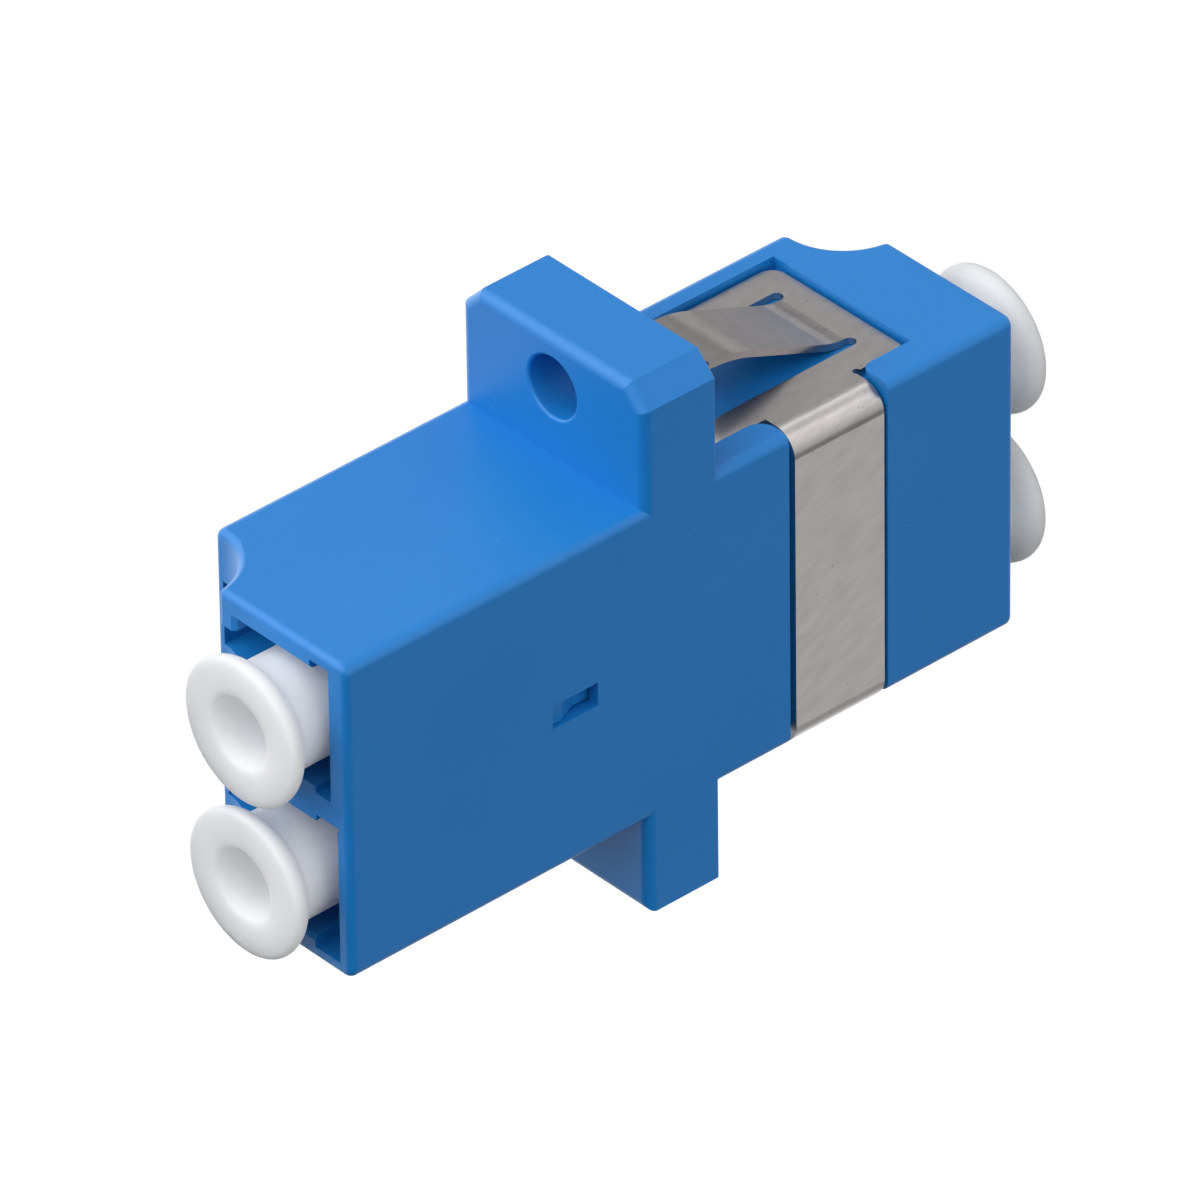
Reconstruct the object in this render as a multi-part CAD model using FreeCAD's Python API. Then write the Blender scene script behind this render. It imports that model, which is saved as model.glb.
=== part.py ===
import FreeCAD, Part
import math
import os

from FreeCAD import Vector

# Duplex fibre adapter with a two-hole flange and a folded spring clip.
# X runs along the fibres, with the insert end at -X. Y runs from the window
# face at -Y to the latch face at +Y. Z is up, and the two ports are stacked
# along it. The origin lies midway between the two screw holes, in the middle
# of the flange's thickness. All lengths are in millimetres.

# Body
BODY_LENGTH = 30.4
BODY_WIDTH = 9.2
BODY_HEIGHT = 12.9
LONG_EDGE_RADIUS = 0.4
END_EDGE_RADIUS = 0.28
SCOOP_RADIUS = 2.5
SCOOP_BACK_FROM_END = -0.25
SCOOP_BACK_FROM_FACE = 0.3

# Flange
FLANGE_THICKNESS = 3.3
FLANGE_CENTRE_X = -0.15
EAR_UPPER = 4.8
EAR_LOWER = 3.9
EAR_CHAMFER = 0.85
EAR_FRONT_RADIUS = 0.4
EAR_REAR_RADIUS = 0.15
SCREW_HOLE_DIAMETER = 2.4
SCREW_HOLE_TO_EAR_END = 2.05
SCREW_HOLE_ROUND = 0.12

# Ports
PORT_PITCH = 6.25
PORT_AXIS_FROM_FACE = 3.2
PLUG_SPACE = 4.85
WINDOW_WALL = 0.85
LATCH_WALL = 0.4
LATCH_SLOT_WIDTH = 3.85
LATCH_SLOT_RISE = 1.2
LATCH_ARM_SLOT_WIDTH = 2.6
LATCH_SLOT_DEPTH = 12.6
LUG_RECESS_START = 4.6
LUG_RECESS_LENGTH = 3.0
LUG_RECESS_RISE = 0.2
BULKHEAD_THICKNESS = 1.2
INSERT_SETBACK = 0.1
REAR_DIVIDER_SETBACK = 0.5
WING_WIDTH = 0.95
WING_RISE = 0.4
MOUTH_LEAD_IN = 0.15
LOWER_RELIEF_DEPTH = 0.3
LOWER_RELIEF_LENGTH = 1.2

# Insert that closes the middle of the adapter
INSERT_CLEARANCE = 0.05
DIVIDER_RAIL_THICKNESS = 0.9
RAIL_GROOVE_DEPTH = 0.38
RAIL_END_CLEARANCE = 0.1
WINDOW_LENGTH = 2.05
WINDOW_HEIGHT = 0.95
WINDOW_CENTRE_X = -5.0
SNAP_CLEARANCE = 0.08
SNAP_RISE = 0.36
SNAP_FLAT = 0.5

# Alignment sleeves and the barrels around them
SLEEVE_BORE = 1.25
SLEEVE_OUTSIDE = 1.62
SLEEVE_LENGTH = 6.8
SLEEVE_SLIT = 0.3
SLEEVE_CLEARANCE = 0.03
SLEEVE_END_PLAY = 0.1
BARREL_OUTSIDE = 2.7
BARREL_LIP = 0.5
BARREL_LIP_BORE = 1.42
BARREL_ROOT_RADIUS = 0.25

# Spring clip
SHEET = 0.27
BAND_WIDTH = 4.1
BAND_START_X = 5.1
BAND_GAP_FRONT = 0.32
BAND_GAP_REAR = 0.12
BAND_RECESS = 0.05
BEND_RADIUS = 0.95
PLATE_RECESS_UPPER = 0.25
PLATE_PROUD_LOWER = 0.36
POCKET_LENGTH = 10.15
POCKET_RIM_WINDOW_SIDE = 1.38
POCKET_RIM_LATCH_SIDE = 0.9
POCKET_CORNER_FRONT = 0.7
POCKET_CORNER_REAR = 0.45
POCKET_DEPTH_LOWER = 0.15
PLATE_GAP = 0.15
PLATE_SEAT_GAP = 0.02
PLATE_CORNER_FAR = 0.65
PLATE_CORNER_NEAR = 0.3
TONGUE_WIDTH = 3.2
TONGUE_SLIT = 0.48
TONGUE_ROOT_FROM_EDGE = 1.18
TONGUE_ROOT_RADIUS = 2.5
TONGUE_ANGLE = 22.0
TONGUE_STRAIGHT = 3.7
TONGUE_TIP_RADIUS = 4.5
TONGUE_TIP_TURN = 16.0
TONGUE_LIP = 0.67
ARM_DIP_ANGLE = 8.0
ARM_DIP_RADIUS = 5.0
ARM_DIP = 0.36
ARM_END_GAP = 0.3
ARM_SLOT_MARGIN = 0.06
RELIEF_RADIUS = 0.15
RELIEF_BEYOND_BAND = 0.1

# Dust caps
CAP_BARREL = 4.1
CAP_RIM = 5.6
CAP_RIM_THICKNESS = 0.7
CAP_RIM_ROUND_FRONT = 0.3
CAP_RIM_ROUND_BACK = 0.25
CAP_FLARE_LENGTH = 0.9
CAP_FLARE_RISE = 0.4
CAP_STANDS_OUT = 2.0
CAP_RECESS = 1.9
CAP_RECESS_DEPTH = 3.0
CAP_MOUTH_ROUND = 0.65
CAP_SOCKET_CLEARANCE = 0.05
CAP_SOCKET_BEYOND_BARREL = 0.4
CAP_TO_BULKHEAD = 0.3
CAP_LEAD_CHAMFER = 0.3

# Places worked out from the values above
HALF_LENGTH = BODY_LENGTH / 2
HALF_WIDTH = BODY_WIDTH / 2
HALF_HEIGHT = BODY_HEIGHT / 2
BODY_AXIS_Z = (EAR_LOWER - EAR_UPPER) / 2
FLANGE_FRONT_X = FLANGE_CENTRE_X - FLANGE_THICKNESS / 2
FLANGE_REAR_X = FLANGE_CENTRE_X + FLANGE_THICKNESS / 2
PORT_Y = -HALF_WIDTH + PORT_AXIS_FROM_FACE
PORT_LEVELS = {"upper": PORT_PITCH / 2, "lower": -PORT_PITCH / 2}
PORT_NEAR_Y = -HALF_WIDTH + WINDOW_WALL
RAIL_GROOVE_Y = PORT_NEAR_Y - RAIL_GROOVE_DEPTH
RAIL_Y = RAIL_GROOVE_Y + RAIL_END_CLEARANCE
SHOULDER_Y = PORT_Y + PLUG_SPACE / 2
LATCH_SPACE_Y = HALF_WIDTH - LATCH_WALL
PLUG_TOP_Z = PORT_PITCH / 2 + PLUG_SPACE / 2
DIVIDER_THICKNESS = PORT_PITCH - PLUG_SPACE
BARREL_END_X = SLEEVE_LENGTH / 2 + SLEEVE_END_PLAY + BARREL_LIP
PLATE_TOP_Z = HALF_HEIGHT - PLATE_RECESS_UPPER
PLATE_BOTTOM_Z = -HALF_HEIGHT - PLATE_PROUD_LOWER
POCKET_REAR_X = FLANGE_REAR_X + POCKET_LENGTH
POCKET_NEAR_Y = -HALF_WIDTH + POCKET_RIM_WINDOW_SIDE
POCKET_FAR_Y = HALF_WIDTH - POCKET_RIM_LATCH_SIDE
PLATE_REAR_X = POCKET_REAR_X - PLATE_GAP
PLATE_NEAR_Y = POCKET_NEAR_Y + PLATE_GAP
PLATE_FAR_Y = POCKET_FAR_Y - PLATE_GAP
PLATE_MIDDLE_Y = (PLATE_NEAR_Y + PLATE_FAR_Y) / 2
BAND_FACE_Y = -HALF_WIDTH + BAND_RECESS
BAND_END_X = BAND_START_X + BAND_WIDTH
DIP = math.radians(ARM_DIP_ANGLE)
DIP_BEND_RUN = ARM_DIP_RADIUS * math.sin(DIP)
DIP_SLOPE = (ARM_DIP - ARM_DIP_RADIUS * (1 - math.cos(DIP))) / math.sin(DIP)
ARM_END_X = FLANGE_REAR_X + ARM_END_GAP
DIP_START_X = ARM_END_X + DIP_BEND_RUN + DIP_SLOPE * math.cos(DIP)
TONGUE_ROOT_X = PLATE_REAR_X - TONGUE_ROOT_FROM_EDGE
OVERCUT = 1.0


def block(x_range, y_range, z_range):
    """A box between two values on each axis."""
    corner = Vector(x_range[0], y_range[0], z_range[0])
    size = [high - low for low, high in (x_range, y_range, z_range)]
    return Part.makeBox(size[0], size[1], size[2], corner)


def rod_x(diameter, x_start, x_end, y, z):
    """A round bar along X."""
    start = Vector(x_start, y, z)
    return Part.makeCylinder(diameter / 2, x_end - x_start, start, Vector(1, 0, 0))


def post_z(radius, x, y, z_range):
    """A round bar along Z."""
    foot = Vector(x, y, z_range[0])
    return Part.makeCylinder(radius, z_range[1] - z_range[0], foot, Vector(0, 0, 1))


def join(shapes):
    """One solid from several that touch or overlap."""
    return shapes[0].multiFuse(shapes[1:]).removeSplitter()


def mirrored_x(shape):
    """The same shape at the other end of the body."""
    return shape.mirror(Vector(0, 0, 0), Vector(1, 0, 0))


def edges_where(shape, test):
    """The edges whose bounding box passes a test."""
    return [edge for edge in shape.Edges if test(edge.BoundBox)]


def flat_at(low, high, value):
    """True where a bounding box is flat in one direction, at one place."""
    return abs(low - value) < 1e-4 and abs(high - value) < 1e-4


def bent_strip(start, heading, steps, thickness, lift):
    """A face of constant thickness along a run of lines and arcs.

    The run starts at a 2D point of its middle line with a heading in degrees.
    A step is (length, 0) for a line, or (radius, turn in degrees) for an arc.
    lift turns a 2D point into a 3D one.
    """
    half = thickness / 2
    x, y = start
    angle = math.radians(heading)
    sides = {half: [], -half: []}
    rims = []

    def side_point(px, py, direction, offset):
        return lift(px - offset * math.sin(direction), py + offset * math.cos(direction))

    rims.append([side_point(x, y, angle, offset) for offset in sides])
    for size, turn in steps:
        sweep = math.radians(turn)
        if turn == 0:
            end = (x + size * math.cos(angle), y + size * math.sin(angle))
            for offset, edges in sides.items():
                here = side_point(x, y, angle, offset)
                there = side_point(end[0], end[1], angle, offset)
                edges.append(Part.LineSegment(here, there).toShape())
        else:
            side = math.copysign(1, turn)
            centre = (x - side * size * math.sin(angle), y + side * size * math.cos(angle))

            def on_arc(fraction, offset):
                direction = angle + fraction * sweep
                px = centre[0] + side * size * math.sin(direction)
                py = centre[1] - side * size * math.cos(direction)
                return side_point(px, py, direction, offset)

            for offset, edges in sides.items():
                points = [on_arc(fraction, offset) for fraction in (0, 0.5, 1)]
                edges.append(Part.Arc(*points).toShape())
            end = (centre[0] + side * size * math.sin(angle + sweep),
                   centre[1] - side * size * math.cos(angle + sweep))
        x, y = end
        angle += sweep
    rims.append([side_point(x, y, angle, offset) for offset in sides])
    caps = [Part.LineSegment(*rim).toShape() for rim in rims]
    outline = sides[half] + sides[-half] + caps
    return Part.Face(Part.Wire(Part.__sortEdges__(outline)))


def rounded_body():
    """The plain outside of the housing, with a finger scoop at each end."""
    body = block((-HALF_LENGTH, HALF_LENGTH), (-HALF_WIDTH, HALF_WIDTH),
                 (-HALF_HEIGHT, HALF_HEIGHT))
    long_edges = edges_where(body, lambda box: box.XLength > BODY_LENGTH / 2)
    body = body.makeFillet(LONG_EDGE_RADIUS, long_edges)
    scoop_x = HALF_LENGTH - SCOOP_BACK_FROM_END
    scoop_y = HALF_WIDTH - SCOOP_BACK_FROM_FACE
    z_range = (-HALF_HEIGHT - OVERCUT, HALF_HEIGHT + OVERCUT)
    for x in (-scoop_x, scoop_x):
        body = body.cut(post_z(SCOOP_RADIUS, x, scoop_y, z_range))
    reach = scoop_x - SCOOP_RADIUS
    end_edges = edges_where(
        body,
        lambda box: min(abs(box.XMin), abs(box.XMax)) > reach - 1e-3 and box.XLength < SCOOP_RADIUS + 0.1,
    )
    return body.makeFillet(END_EDGE_RADIUS, end_edges)


def flange():
    """The mounting flange: two ears in one slab, with a screw hole in each."""
    top = HALF_HEIGHT + EAR_UPPER
    bottom = -HALF_HEIGHT - EAR_LOWER
    slab = block((FLANGE_FRONT_X, FLANGE_REAR_X), (-HALF_WIDTH, HALF_WIDTH), (bottom, top))
    corners = edges_where(
        slab, lambda box: flat_at(box.ZMin, box.ZMax, top) and box.XLength > FLANGE_THICKNESS / 2)
    slab = slab.makeChamfer(EAR_CHAMFER, corners)
    front = edges_where(slab, lambda box: flat_at(box.XMin, box.XMax, FLANGE_FRONT_X))
    slab = slab.makeFillet(EAR_FRONT_RADIUS, front)
    rear = edges_where(slab, lambda box: flat_at(box.XMin, box.XMax, FLANGE_REAR_X))
    slab = slab.makeFillet(EAR_REAR_RADIUS, rear)
    for z in (top - SCREW_HOLE_TO_EAR_END, bottom + SCREW_HOLE_TO_EAR_END):
        slab = slab.cut(rod_x(SCREW_HOLE_DIAMETER, FLANGE_FRONT_X - OVERCUT,
                              FLANGE_REAR_X + OVERCUT, 0, z))
    rims = edges_where(slab, lambda box: flat_at(box.XMin, box.XMax, FLANGE_FRONT_X)
                       and flat_at(-box.YMin, box.YMax, SCREW_HOLE_DIAMETER / 2))
    return slab.makeFillet(SCREW_HOLE_ROUND, rims)


def latch_spaces(end_x):
    """The slots over both ports at the insert end, where the plugs' latches ride."""
    spaces = []
    x_range = (end_x - OVERCUT, end_x + LATCH_SLOT_DEPTH)
    for level in PORT_LEVELS.values():
        half_slot = LATCH_SLOT_WIDTH / 2
        half_arm = LATCH_ARM_SLOT_WIDTH / 2
        spaces.append(block(x_range, (SHOULDER_Y - OVERCUT, SHOULDER_Y + LATCH_SLOT_RISE),
                            (level - half_slot, level + half_slot)))
        spaces.append(block(x_range, (SHOULDER_Y, LATCH_SPACE_Y),
                            (level - half_arm, level + half_arm)))
        recess_x = end_x + LUG_RECESS_START
        half_plug = PLUG_SPACE / 2
        spaces.append(block((recess_x, recess_x + LUG_RECESS_LENGTH),
                            (SHOULDER_Y - OVERCUT, SHOULDER_Y + LATCH_SLOT_RISE + LUG_RECESS_RISE),
                            (level - half_plug, level + half_plug)))
    return spaces


def lead_in(end_x):
    """The sloped entry around the opening at the insert end."""
    wires = []
    for x, grow in ((end_x, MOUTH_LEAD_IN), (end_x + MOUTH_LEAD_IN, 0)):
        far = SHOULDER_Y + grow
        top = PLUG_TOP_Z + grow
        corners = [(PORT_NEAR_Y, -top), (far, -top), (far, top), (PORT_NEAR_Y, top)]
        points = [Vector(x, y, z) for y, z in corners]
        wires.append(Part.makePolygon(points + points[:1]))
    return Part.makeLoft(wires, True)


def insert_space():
    """The single opening at the insert end, which the insert divides in two."""
    end = -HALF_LENGTH
    x_range = (end - OVERCUT, 0)
    wing_z = PLUG_TOP_Z + WING_RISE
    rail = DIVIDER_RAIL_THICKNESS / 2 + INSERT_CLEARANCE
    return join([
        block(x_range, (PORT_NEAR_Y, SHOULDER_Y), (-PLUG_TOP_Z, PLUG_TOP_Z)),
        block(x_range, (PORT_NEAR_Y, PORT_NEAR_Y + WING_WIDTH), (-wing_z, wing_z)),
        block(x_range, (RAIL_GROOVE_Y, PORT_NEAR_Y + OVERCUT), (-rail, rail)),
        block((end - OVERCUT, end + LOWER_RELIEF_LENGTH),
              (PORT_NEAR_Y - LOWER_RELIEF_DEPTH, PORT_NEAR_Y + OVERCUT), (-wing_z, -rail)),
        lead_in(end),
    ] + latch_spaces(end))


def rear_space():
    """The two separate openings at the other end."""
    x_range = (BULKHEAD_THICKNESS, HALF_LENGTH + OVERCUT)
    half = PLUG_SPACE / 2
    spaces = [block(x_range, (PORT_NEAR_Y, SHOULDER_Y), (level - half, level + half))
              for level in PORT_LEVELS.values()]
    slots = [mirrored_x(space) for space in latch_spaces(-HALF_LENGTH)]
    setback = block((HALF_LENGTH - REAR_DIVIDER_SETBACK, HALF_LENGTH + OVERCUT),
                    (PORT_NEAR_Y, SHOULDER_Y), (-PLUG_TOP_Z, PLUG_TOP_Z))
    return join(spaces + slots + [setback])


def barrel(z):
    """One sleeve barrel on the +X side of the bulkhead, with its root fillet."""
    tube = rod_x(BARREL_OUTSIDE, 0, BARREL_END_X, PORT_Y, z)
    rim = edges_where(tube, lambda box: flat_at(box.XMin, box.XMax, BARREL_END_X))
    tube = tube.makeChamfer(BARREL_LIP / 3, rim)
    foot = Part.makeCone(BARREL_OUTSIDE / 2 + BARREL_ROOT_RADIUS, BARREL_OUTSIDE / 2,
                         BARREL_ROOT_RADIUS, Vector(BULKHEAD_THICKNESS, PORT_Y, z), Vector(1, 0, 0))
    return tube.fuse(foot)


def sleeve_bore(z):
    """The bore that holds a sleeve through both halves, and its two lips."""
    play = SLEEVE_LENGTH / 2 + SLEEVE_END_PLAY
    wide = rod_x(SLEEVE_OUTSIDE + 2 * SLEEVE_CLEARANCE, -play, play, PORT_Y, z)
    reach = BARREL_END_X + OVERCUT
    return wide.fuse(rod_x(BARREL_LIP_BORE, -reach, reach, PORT_Y, z))


def corner_round(x, y, radius, toward_x, toward_y, z_range):
    """What a vertical corner of the body at x, y loses when it is rounded.

    toward_x and toward_y are the signs of the way from the corner into the body.
    """
    centre_x = x + toward_x * radius
    centre_y = y + toward_y * radius
    square = block(sorted((x, centre_x)), sorted((y, centre_y)), z_range)
    return square.cut(post_z(radius, centre_x, centre_y, z_range))


def clip_pocket(side):
    """The recess for one plate of the clip, with slots for the arm ends.

    side is 1 for the upper face and -1 for the lower one. The recess is made
    for the upper side and mirrored for the lower one.
    """
    if side > 0:
        plate_under = PLATE_TOP_Z - SHEET
        floor = plate_under - PLATE_SEAT_GAP
    else:
        plate_under = -PLATE_BOTTOM_Z - SHEET
        floor = HALF_HEIGHT - POCKET_DEPTH_LOWER
    z_range = (floor, HALF_HEIGHT + OVERCUT)
    channel_front = BAND_START_X - BAND_GAP_FRONT
    channel_rear = BAND_END_X + BAND_GAP_REAR
    cutters = [
        block((FLANGE_REAR_X, POCKET_REAR_X), (POCKET_NEAR_Y, POCKET_FAR_Y), z_range),
        corner_round(channel_front, POCKET_NEAR_Y, POCKET_CORNER_FRONT, -1, -1, z_range),
        corner_round(channel_rear, POCKET_NEAR_Y, POCKET_CORNER_REAR, 1, -1, z_range),
    ]
    slot_floor = plate_under - ARM_DIP - PLATE_SEAT_GAP
    for y_range in arm_ranges():
        wide = (y_range[0] - PLATE_GAP, y_range[1] + ARM_SLOT_MARGIN)
        cutters.append(block((FLANGE_REAR_X, DIP_START_X), wide, (slot_floor, HALF_HEIGHT)))
    pocket = join(cutters)
    if side < 0:
        pocket = pocket.mirror(Vector(0, 0, 0), Vector(0, 0, 1))
    return pocket


def band_channel():
    """The shallow channel around the window face that the band lies in."""
    x_range = (BAND_START_X - BAND_GAP_FRONT, BAND_END_X + BAND_GAP_REAR)
    core_y = BAND_FACE_Y + SHEET + PLATE_SEAT_GAP
    upper = PLATE_TOP_Z - SHEET - PLATE_SEAT_GAP
    lower = -HALF_HEIGHT + POCKET_DEPTH_LOWER
    core = block((x_range[0] - OVERCUT, x_range[1] + OVERCUT), (core_y, HALF_WIDTH), (lower, upper))
    near_edges = edges_where(core, lambda box: box.XLength > BAND_WIDTH and box.YMax < 0)
    core = core.makeFillet(BEND_RADIUS * 0.7, near_edges)
    ring = block(x_range, (-HALF_WIDTH - OVERCUT, POCKET_NEAR_Y + PLATE_GAP),
                 (-HALF_HEIGHT - OVERCUT, HALF_HEIGHT + OVERCUT))
    return ring.cut(core)


def snap_window():
    """The window in the face at -Y that the insert snaps into."""
    half_length = WINDOW_LENGTH / 2
    half_height = WINDOW_HEIGHT / 2
    return block((WINDOW_CENTRE_X - half_length, WINDOW_CENTRE_X + half_length),
                 (-HALF_WIDTH - OVERCUT, PORT_NEAR_Y + OVERCUT / 10), (-half_height, half_height))


def housing():
    """The moulded body: one piece with the flange, ports, pockets and rear barrels."""
    shape = join([rounded_body(), flange()])
    shape = shape.cut([insert_space(), rear_space()])
    shape = shape.fuse([barrel(z) for z in PORT_LEVELS.values()])
    shape = shape.cut([sleeve_bore(z) for z in PORT_LEVELS.values()])
    shape = shape.cut([snap_window(), clip_pocket(1), clip_pocket(-1), band_channel()])
    return shape.removeSplitter()


def snap_nub():
    """The ramp on the insert's rail that snaps into the window."""
    front_x = WINDOW_CENTRE_X - WINDOW_LENGTH / 2 + SNAP_CLEARANCE
    rear_x = WINDOW_CENTRE_X + WINDOW_LENGTH / 2 - SNAP_CLEARANCE
    foot_y = PORT_NEAR_Y
    tip_y = RAIL_Y - SNAP_RISE
    half = DIVIDER_RAIL_THICKNESS / 2
    outline = [(front_x, foot_y), (front_x, tip_y), (front_x + SNAP_FLAT, tip_y), (rear_x, foot_y)]
    points = [Vector(x, y, -half) for x, y in outline]
    face = Part.Face(Part.makePolygon(points + points[:1]))
    return face.extrude(Vector(0, 0, 2 * half))


def sleeve_holder():
    """The insert: divider, bulkhead, two barrels and the snap, in one moulding."""
    gap = INSERT_CLEARANCE
    half = DIVIDER_THICKNESS / 2
    rail = DIVIDER_RAIL_THICKNESS / 2
    wing_y = PORT_NEAR_Y + WING_WIDTH - gap
    front = -HALF_LENGTH + INSERT_SETBACK
    plate_x = (-BULKHEAD_THICKNESS, 0)
    plate_z = PLUG_TOP_Z - gap
    wing_z = plate_z + WING_RISE
    divider = block((front, 0), (wing_y, SHOULDER_Y - gap), (-half, half))
    rail_block = block((front, 0), (RAIL_Y, wing_y + gap), (-rail, rail))
    bulkhead = block(plate_x, (PORT_NEAR_Y + gap, SHOULDER_Y - gap), (-plate_z, plate_z))
    wings = block(plate_x, (PORT_NEAR_Y + gap, wing_y), (-wing_z, wing_z))
    barrels = [mirrored_x(barrel(z)) for z in PORT_LEVELS.values()]
    shape = join([divider, rail_block, bulkhead, wings, snap_nub()] + barrels)
    return shape.cut([sleeve_bore(z) for z in PORT_LEVELS.values()])


def split_sleeve(z):
    """One alignment sleeve: a thin tube with a slit along its whole length."""
    half = SLEEVE_LENGTH / 2
    tube = rod_x(SLEEVE_OUTSIDE, -half, half, PORT_Y, z)
    tube = tube.cut(rod_x(SLEEVE_BORE, -half - OVERCUT, half + OVERCUT, PORT_Y, z))
    slit = block((-half - OVERCUT, half + OVERCUT), (PORT_Y, PORT_Y + SLEEVE_OUTSIDE),
                 (z - SLEEVE_SLIT / 2, z + SLEEVE_SLIT / 2))
    return tube.cut(slit)


def arm_ranges():
    """The Y ranges of the clip's two arms, on either side of the tongue."""
    inner = TONGUE_WIDTH / 2 + TONGUE_SLIT
    return [(PLATE_NEAR_Y, PLATE_MIDDLE_Y - inner), (PLATE_MIDDLE_Y + inner, PLATE_FAR_Y)]


def plate_middle(side):
    """The Z of the middle of one plate's sheet, and the sign that points outward."""
    if side > 0:
        return PLATE_TOP_Z - SHEET / 2
    return PLATE_BOTTOM_Z + SHEET / 2


def clip_plate(side):
    """One plate of the clip: a bridge at the rear, two dipping arms and a tongue."""
    level = plate_middle(side)
    z_range = (level - SHEET / 2, level + SHEET / 2)

    def lift(u, v):
        return Vector(-u, 0, level + side * v)

    bridge_x = TONGUE_ROOT_X
    pieces = [block((bridge_x, PLATE_REAR_X), (PLATE_NEAR_Y, PLATE_FAR_Y), z_range)]

    arm_steps = [(bridge_x - DIP_START_X, 0), (ARM_DIP_RADIUS, -ARM_DIP_ANGLE), (DIP_SLOPE, 0)]
    arm_face = bent_strip((-bridge_x, 0), 0, arm_steps, SHEET, lift)
    for y_start, y_end in arm_ranges():
        arm = arm_face.extrude(Vector(0, y_end - y_start, 0))
        pieces.append(arm.translated(Vector(0, y_start, 0)))

    tongue_face = bent_strip((-bridge_x, 0), 0,
                             [(TONGUE_ROOT_RADIUS, TONGUE_ANGLE), (TONGUE_STRAIGHT, 0),
                              (TONGUE_TIP_RADIUS, -TONGUE_TIP_TURN), (TONGUE_LIP, 0)], SHEET, lift)
    tongue = tongue_face.extrude(Vector(0, TONGUE_WIDTH, 0))
    pieces.append(tongue.translated(Vector(0, PLATE_MIDDLE_Y - TONGUE_WIDTH / 2, 0)))

    plate = join(pieces)
    for y, radius in ((PLATE_FAR_Y, PLATE_CORNER_FAR), (PLATE_NEAR_Y, PLATE_CORNER_NEAR)):
        corner = edges_where(plate, lambda box: flat_at(box.XMin, box.XMax, PLATE_REAR_X)
                             and flat_at(box.YMin, box.YMax, y))
        plate = plate.makeFillet(radius, corner)
    slit_ends = []
    for offset in (-1, 1):
        y = PLATE_MIDDLE_Y + offset * (TONGUE_WIDTH + TONGUE_SLIT) / 2
        slit_ends.append(post_z(TONGUE_SLIT / 2, bridge_x, y, (z_range[0] - SHEET, z_range[1] + SHEET)))
    return plate.cut(slit_ends)


def clip_band():
    """The band of the clip: a U around the window face, from plate to plate."""
    radius = BEND_RADIUS - SHEET / 2
    face_y = BAND_FACE_Y + SHEET / 2
    upper = plate_middle(1)
    lower = plate_middle(-1)
    leg = PLATE_NEAR_Y + TONGUE_SLIT - (face_y + radius)
    web = upper - lower - 2 * radius

    def lift(u, v):
        return Vector(BAND_START_X, u, v)

    profile = bent_strip((face_y + radius + leg, upper), 180,
                         [(leg, 0), (radius, 90), (web, 0), (radius, 90), (leg, 0)], SHEET, lift)
    return profile.extrude(Vector(BAND_WIDTH, 0, 0))


def mounting_clip():
    """The spring clip: one folded sheet with a band, two plates and two tongues."""
    shape = join([clip_band(), clip_plate(1), clip_plate(-1)])
    reach = (PLATE_BOTTOM_Z - SHEET, PLATE_TOP_Z + SHEET)
    relief = post_z(RELIEF_RADIUS, BAND_END_X + RELIEF_BEYOND_BAND, PLATE_NEAR_Y, reach)
    return shape.cut(relief).removeSplitter()


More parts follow.
